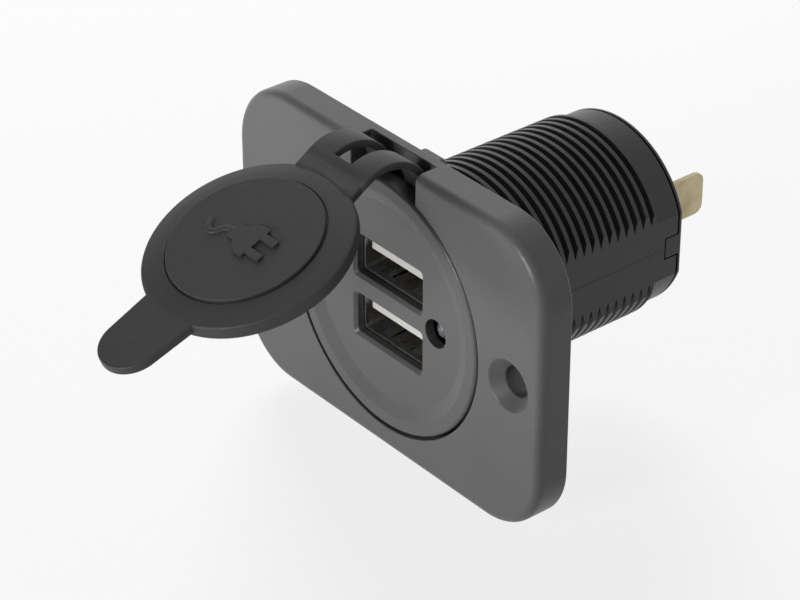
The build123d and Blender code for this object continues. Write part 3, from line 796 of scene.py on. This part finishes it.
def makeReceptacles(r):
    made = ((makeShell(r), "plated", "plated_steel", "usb_shell_"),
            (makeTongue(r), "white", "white_plastic", "port_insulator_"),
            (makeContacts(r), "contact", "contact_metal", "port_contacts_"))
    for piece, look, slot, node in made:
        lower = copyOf(piece, piece.name.replace("Upper", "Lower"), (0, 0, -r["rise"]))
        piece.data.transform(Matrix.Translation((0, 0, r["rise"])))
        finish(piece, "socket", finishes[look], [node + "upper"])
        finish(lower, "socket", finishes[look], [node + "lower"])


makeReceptacles(receptacle)
print("receptacles made")

# status light
lamp = {"at": 9.6, "radius": 1.5, "flange": 1.9, "tip": -3.45, "base": 2.4, "flangeThick": 1.0}


def makeLamp(m):
    radius = m["radius"]
    piece = turned("statusLight", [(0, m["tip"])] + roundOff(
        (0, m["tip"] + radius), radius, -80, 0, 9) + [
        (radius, m["base"] - m["flangeThick"]), (m["flange"], m["base"] - m["flangeThick"]),
        (m["flange"], m["base"]), (0, m["base"])], 48, at=(m["at"], 0))
    soften(piece, 0.05, 1, 50)
    return finish(piece, "socket", finishes["lamp"], ["status_light"])


makeLamp(lamp)
print("status light made")

# cap
cap = {
    "radius": 13.9, "front": -6.45, "rim": 2.1, "edge": 0.4, "domeRise": 0.65, "bulge": 0.12,
    "padRadius": 10.3, "padRise": 0.45, "padEdge": 0.15, "footWide": 0.3,
    "footDeep": 0.14, "hollow": 12.4, "hollowDepth": 0.8,
    "gripRoot": 4.75, "gripTip": 4.35, "gripReach": 23.45, "gripThick": 1.3,
    "neckHalf": 5.6, "neckRoot": 12.65, "neckReach": 14.4, "neckRise": 0.36, "strapThick": 1.1,
    "neckSpare": 1.0, "pivot": (0.0, -3.7, 23.2), "swing": 68.8, "gripEdge": 0.25, "neckEdge": 0.16,
}
swingOpen = (Matrix.Translation(cap["pivot"])
             @ Matrix.Rotation(math.radians(-cap["swing"]), 4, "X")
             @ Matrix.Translation(-Vector(cap["pivot"])))


def makeCap(c):
    # modelled closed over the face, then swung open on its strap
    front, back = c["front"], c["front"] + c["rim"]
    dome, pad = front - c["domeRise"], front - c["domeRise"] - c["padRise"]
    wide, inner, edge, padEdge = c["radius"], c["padRadius"], c["edge"], c["padEdge"]
    rise = [(wide - edge + (inner - wide + edge) * t,
             front + (dome - front) * t - c["bulge"] * math.sin(math.pi * t))
            for t in (0.2, 0.4, 0.6, 0.8)]
    foot = dome + c["footDeep"]
    rise += [(inner + c["footWide"], dome), (inner + c["footWide"] * 0.6, foot), (inner, foot)]
    piece = turned("rubberCap", [
        (0, back - c["hollowDepth"]), (c["hollow"], back - c["hollowDepth"]), (c["hollow"], back)]
        + roundOff((wide - edge, back - edge), edge, 90, 0, 4)
        + roundOff((wide - edge, front + edge), edge, 0, -80, 4)
        + rise + roundOff((inner - padEdge, pad + padEdge), padEdge, 0, -90, 3)
        + [(0, pad)], 160)
    tip, tipAt = c["gripTip"], c["gripTip"] - c["gripReach"]
    grip = box("grip", (-tip, front, tipAt - tip), (tip, front + c["gripThick"], -c["hollow"]))
    startEdit(grip)
    bevelWhere(lambda e: runsAlong(1)(e) and middle(e).z < tipAt, tip - 0.01, 20)
    pick("VERT", lambda v: v.co.z > -c["hollow"] - 0.1)
    bpy.ops.transform.resize(value=(c["gripRoot"] / tip, 1, 1),
                             center_override=(0, front, -c["hollow"]))
    bevelWhere(lambda e: allAt(1, front)(e) or allAt(1, front + c["gripThick"])(e),
               c["gripEdge"], 3)
    endEdit()
    reach = c["neckReach"] + c["neckSpare"]   # cut back after the edges are rounded
    slope = c["neckRise"] / (c["neckReach"] - c["neckRoot"])
    neck = box("neck", (-c["neckHalf"], front, c["neckRoot"]),
               (c["neckHalf"], front + c["strapThick"], reach))
    startEdit(neck)
    pick("VERT", lambda v: v.co.z > c["neckReach"])
    bpy.ops.transform.translate(value=(0, -slope * (reach - c["neckRoot"]), 0))
    bevelWhere(lambda e: abs(e.verts[0].co.z - e.verts[1].co.z) > 1, c["neckEdge"], 3)
    endEdit()
    weld(piece, grip, neck)
    clearFlats(piece)
    soften(piece, 0)
    sliceOff(piece, (0, 0, c["neckReach"]), (0, 0, 1))
    piece.data.transform(swingOpen)
    return finish(piece, "cap", finishes["rubber"], ["cap"])


makeCap(cap)
print("cap made")

# plug sign on the cap
sign = {
    "face": -7.55, "raise": 0.4, "sink": 0.2, "edge": 0.1,
    "plugBody": (-1.0, 2.4, 2.5), "bodyRound": 0.95, "prong": (2.1, 4.9, 0.52), "prongAt": 1.3,
    "collar": (-2.1, -0.6, 1.15), "cord": 0.5, "cordSquash": 0.6,
    "cordPath": ((-2.0, 0.0), (-3.0, 0.0), (-3.7, -0.6), (-4.2, -1.5), (-5.0, -1.9), (-5.8, -1.4),
                 (-6.2, -0.3)),
}


def makeSign(s):
    low, high = s["face"] - s["raise"], s["face"] + s["sink"]
    start, end, half = s["plugBody"]
    piece = box("plugSign", (start, low, -half), (end, high, half))
    startEdit(piece)
    bevelWhere(lambda e: runsAlong(1)(e) and middle(e).x < start + 0.1, half * s["bodyRound"], 10)
    endEdit()
    start, end, half = s["collar"]
    weld(piece, box("collar", (start, low, -half), (end, high, half)))
    start, end, half = s["prong"]
    for rise in (-s["prongAt"], s["prongAt"]):
        weld(piece, box("prong", (start, low, rise - half), (end, high, rise + half)))
    deselectAll()
    bpy.ops.curve.primitive_nurbs_path_add()
    path = bpy.context.active_object
    spline = path.data.splines[0]
    spline.points.add(len(s["cordPath"]) - len(spline.points))
    for point, (x, z) in zip(spline.points, s["cordPath"]):
        point.co = (x, s["face"], z, 1)
    spline.order_u = 3
    spline.use_endpoint_u = True
    spline.resolution_u = 8
    path.data.bevel_depth = s["cord"]
    path.data.bevel_resolution = 3
    path.data.use_fill_caps = True
    bpy.ops.object.convert(target="MESH")
    path = bpy.context.active_object
    path.data.transform(Matrix.Translation((0, s["face"], 0))
                        @ Matrix.Diagonal((1, s["cordSquash"], 1, 1))
                        @ Matrix.Translation((0, -s["face"], 0)))
    tidyMesh(path)
    joinLoose(piece, path)
    soften(piece, s["edge"], 2)
    piece.data.transform(swingOpen)
    return finish(piece, "cap", finishes["rubber"])


makeSign(sign)
print("plug sign made")

# strap
strap = {
    "half": 5.6, "bendCentre": (-8.55, 17.6), "outer": 6.9, "inner": 5.8, "lift": 118.0,
    "window": 1.7, "windowFront": -11.3, "windowLow": 8, "windowHigh": 40, "edge": 0.16,
    "rootSteps": 6, "capCentre": (-26.32, 17.375),
    "bendStart": (0, -2.8, 20.0), "bendEnd": (0, -13.6, 20.0),
}


def besideCap(along, above):
    turn = math.radians(cap["swing"])
    y, z = strap["capCentre"]
    return (y + along * math.sin(turn) - above * math.cos(turn),
            z + along * math.cos(turn) + above * math.sin(turn))


def makeStrap(s):
    # spun up from the notch over the bend, then drawn out to the cap's neck
    centreY, centreZ = s["bendCentre"]
    middleRadius, thick = (s["outer"] + s["inner"]) / 2, s["outer"] - s["inner"]
    lift, turn = math.radians(s["lift"]), math.radians(cap["swing"])
    deselectAll()
    bpy.ops.mesh.primitive_plane_add(size=1, location=(0, centreY + middleRadius, centreZ))
    piece = named("strap")
    startEdit(piece)
    bpy.ops.mesh.select_all(action="SELECT")
    bpy.ops.transform.resize(value=(2 * s["half"], thick, 1),
                             center_override=(0, centreY + middleRadius, centreZ))
    bpy.ops.mesh.spin(steps=40, angle=-lift, center=(0, centreY, centreZ), axis=(1, 0, 0))
    end = Vector((0, centreY + middleRadius * math.cos(lift),
                  centreZ + middleRadius * math.sin(lift)))
    starts = [Vector((centreY + r * math.cos(lift), centreZ + r * math.sin(lift)))
              for r in (s["outer"], s["inner"])]
    ends = [Vector(besideCap(cap["neckReach"], cap["neckRise"] - drop))
            for drop in (0, cap["strapThick"])]
    ends = [b + (b - a).normalized() * cap["neckSpare"] for a, b in zip(starts, ends)]
    pick("FACE", lambda f: (middle(f) - end).length < 0.05)
    for i in range(1, s["rootSteps"] + 1):
        bpy.ops.mesh.extrude_region_move(TRANSFORM_OT_translate={"value": (0, 0, 0)})
        mesh = bmesh.from_edit_mesh(piece.data)
        for v in mesh.verts:
            if v.select:
                k = 0 if (v.co.yz - Vector((centreY, centreZ))).length > middleRadius else 1
                v.co.y, v.co.z = starts[k].lerp(ends[k], i / s["rootSteps"])
        bmesh.update_edit_mesh(piece.data)
    endEdit()
    cut(piece, box("window", (-s["window"], s["windowFront"], s["windowLow"]),
                   (s["window"], 0, s["windowHigh"])))
    soften(piece, s["edge"], 3, 30, keepFlats=False)
    sliceOff(piece, (0, *besideCap(cap["neckReach"], 0)), (0, -math.sin(turn), -math.cos(turn)))
    finish(piece, None, finishes["rubber"], ["cap_strap"])
    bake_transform(piece)
    return piece


makeStrap(strap)
print("strap made")

# what sits inside
innerFinish = {
    "cap_ring": "rubber", "light_leads": "tinned", "port_board": "board", "power_board": "board",
    "header_base": "resin", "header_pin_row": "contact", "input_capacitor": "can",
    "output_capacitor": "can", "choke_core": "ferrite", "choke_winding": "copper",
    "converter_chip": "resin", "charge_chip": "resin", "rectifier_diode": "resin",
    "input_fuse": "fuse", "chip_resistors": "resin",
}
for node, look in innerFinish.items():
    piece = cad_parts[node]
    piece.data.materials.clear()
    piece.data.materials.append(finishes[look])
print("inner parts dressed:", len(innerFinish))

# floor, light, camera
studio = {
    "glossy": ("farLight",),
    "floorSize": 6.0, "floorDrop": 0.0016, "floorTone": 0.86, "floorBounce": 0.4,
    "floorGlow": 0.8, "floorGloss": 0.75, "skyTone": (1.0, 1.0, 1.0), "skyLight": 0.12,
    "lamps": (
        ("frontLight", (-0.32, -0.5, -0.003), (0.01, 0.005, 0.01), (0.3, 0.036), 2.1),
        ("tableLight", (-0.14, -0.24, -0.021), (-0.14, -0.24, 1.0), (0.4, 0.26), 1.5),
        ("farLight", (0.08, -0.75, 0.18), (0.02, 0.0, 0.012), (0.16, 0.16), 2.6),
        ("backLight", (-0.75, 0.5, 0.4), (0.0, 0.005, 0.0), (0.5, 0.5), 14.0),
    ),
    "cards": (((-0.6, -0.27, 0.36), (0.62, 0.75)), ((-0.12, -0.8, 0.42), (0.9, 0.75))),
    "aim": (0.0, 0.005, 0.0),
}


def mathNode(tree, kind, first, second):
    # first and second are numbers or (node, output) pairs
    node = addNode(tree, "ShaderNodeMath", [("operation", kind)])
    for i, value in enumerate((first, second)):
        if isinstance(value, tuple):
            tree.links.new(value[0].outputs[value[1]], node.inputs[i])
        else:
            node.inputs[i].default_value = value
    return node, 0


def seenShare(tree, straight, mirrored):
    # how much of the white shows to the camera, and in gloss and clear resin
    light = tree.nodes.new("ShaderNodeLightPath")
    gloss = mathNode(tree, "MAXIMUM", (light, "Is Glossy Ray"), (light, "Is Transmission Ray"))
    return mathNode(tree, "MAXIMUM", mathNode(tree, "MULTIPLY", (light, "Is Camera Ray"), straight),
                    mathNode(tree, "MULTIPLY", gloss, mirrored))


def makeFloor(s):
    deselectAll()
    # low enough for the closed cap's grip, which reaches below the flange
    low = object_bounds()[0].z - s["floorDrop"]
    bpy.ops.mesh.primitive_plane_add(size=s["floorSize"], location=(0, 0, low))
    floor = named("floor")
    material, tree, shader = newMaterial("floorPaper")
    shader.inputs["Roughness"].default_value = 0.9
    shader.inputs["Specular IOR Level"].default_value = 0.0
    light = tree.nodes.new("ShaderNodeLightPath")
    tone = mixColour(tree, light, "Is Camera Ray", (s["floorBounce"],) * 3, (s["floorTone"],) * 3)
    tree.links.new(tone.outputs[2], shader.inputs["Base Color"])
    glow = tree.nodes.new("ShaderNodeEmission")
    share = seenShare(tree, s["floorGlow"], s["floorGloss"])
    mix = tree.nodes.new("ShaderNodeMixShader")
    tree.links.new(share[0].outputs[share[1]], mix.inputs[0])
    tree.links.new(shader.outputs[0], mix.inputs[1])
    tree.links.new(glow.outputs[0], mix.inputs[2])
    tree.links.new(mix.outputs[0], tree.nodes["Material Output"].inputs["Surface"])
    floor.data.materials.append(material)
    floor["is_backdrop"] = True


def makeSky(s):
    world = bpy.data.worlds.new("studio")
    bpy.context.scene.world = world
    world.use_nodes = True
    tree = world.node_tree
    plain = tree.nodes["Background"]
    plain.inputs["Color"].default_value = (*s["skyTone"], 1)
    plain.inputs["Strength"].default_value = s["skyLight"]
    white = addNode(tree, "ShaderNodeBackground", [("Color", (1, 1, 1, 1)), ("Strength", 1.0)])
    share = seenShare(tree, 1.0, 1.0)
    mix = tree.nodes.new("ShaderNodeMixShader")
    tree.links.new(share[0].outputs[share[1]], mix.inputs[0])
    tree.links.new(plain.outputs[0], mix.inputs[1])
    tree.links.new(white.outputs[0], mix.inputs[2])
    tree.links.new(mix.outputs[0], tree.nodes["World Output"].inputs["Surface"])


def aimedAt(place, target):
    turn = (Vector(target) - Vector(place)).to_track_quat("-Z", "Y").to_matrix().to_4x4()
    return Matrix.Translation(place) @ turn


def makeLamps(s):
    # no lamp shows to the camera, and only the far one shows in the gloss
    for name, place, target, size, power in s["lamps"]:
        deselectAll()
        bpy.ops.object.light_add(type="AREA")
        light = bpy.context.active_object
        light.name = name
        light.matrix_world = aimedAt(place, target)
        light.data.shape = "RECTANGLE"
        light.data.size, light.data.size_y = size
        light.data.energy = power
        light.visible_camera = False
        light.visible_glossy = name in s["glossy"]


def makeCards(s):
    # black cards for the edges that face forwards to reflect, unseen by the camera
    material, tree, shader = newMaterial("blackCard")
    shader.inputs["Base Color"].default_value = (0.01, 0.01, 0.01, 1)
    shader.inputs["Roughness"].default_value = 1.0
    shader.inputs["Specular IOR Level"].default_value = 0.0
    for place, (wide, high) in s["cards"]:
        deselectAll()
        bpy.ops.mesh.primitive_plane_add(size=1)
        spread = Matrix.Diagonal((wide, high, 1, 1))
        bpy.context.active_object.matrix_world = aimedAt(place, s["aim"]) @ spread
        card = named("blackCard")
        card.visible_camera = False
        card.data.materials.append(material)
        card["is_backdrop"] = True


makeFloor(studio)
makeSky(studio)
makeLamps(studio)
makeCards(studio)

view = {
    "azimuth": 50.568, "elevation": 31.992, "distance": 0.401135,
    "right": -0.001665, "up": -0.001031, "lens": 138.981, "sensor": 36.0,
}


def makeCamera(v):
    turn, tilt = math.radians(v["azimuth"]), math.radians(v["elevation"])
    back = Vector((math.sin(turn) * math.cos(tilt), -math.cos(turn) * math.cos(tilt),
                   math.sin(tilt)))
    right = Vector((math.cos(turn), math.sin(turn), 0))
    up = back.cross(right)
    bpy.ops.object.camera_add()
    camera = bpy.context.active_object
    camera.name = "camera"
    axes = Matrix((right, up, back)).transposed().to_4x4()
    place = back * v["distance"] + right * v["right"] + up * v["up"]
    camera.matrix_world = Matrix.Translation(place) @ axes
    camera.data.lens = v["lens"]
    camera.data.sensor_width = v["sensor"]
    camera.data.clip_start, camera.data.clip_end = 0.01, 10
    bpy.context.scene.camera = camera


makeCamera(view)
bpy.context.scene.view_settings.view_transform = "Standard"
print("studio and camera ready")
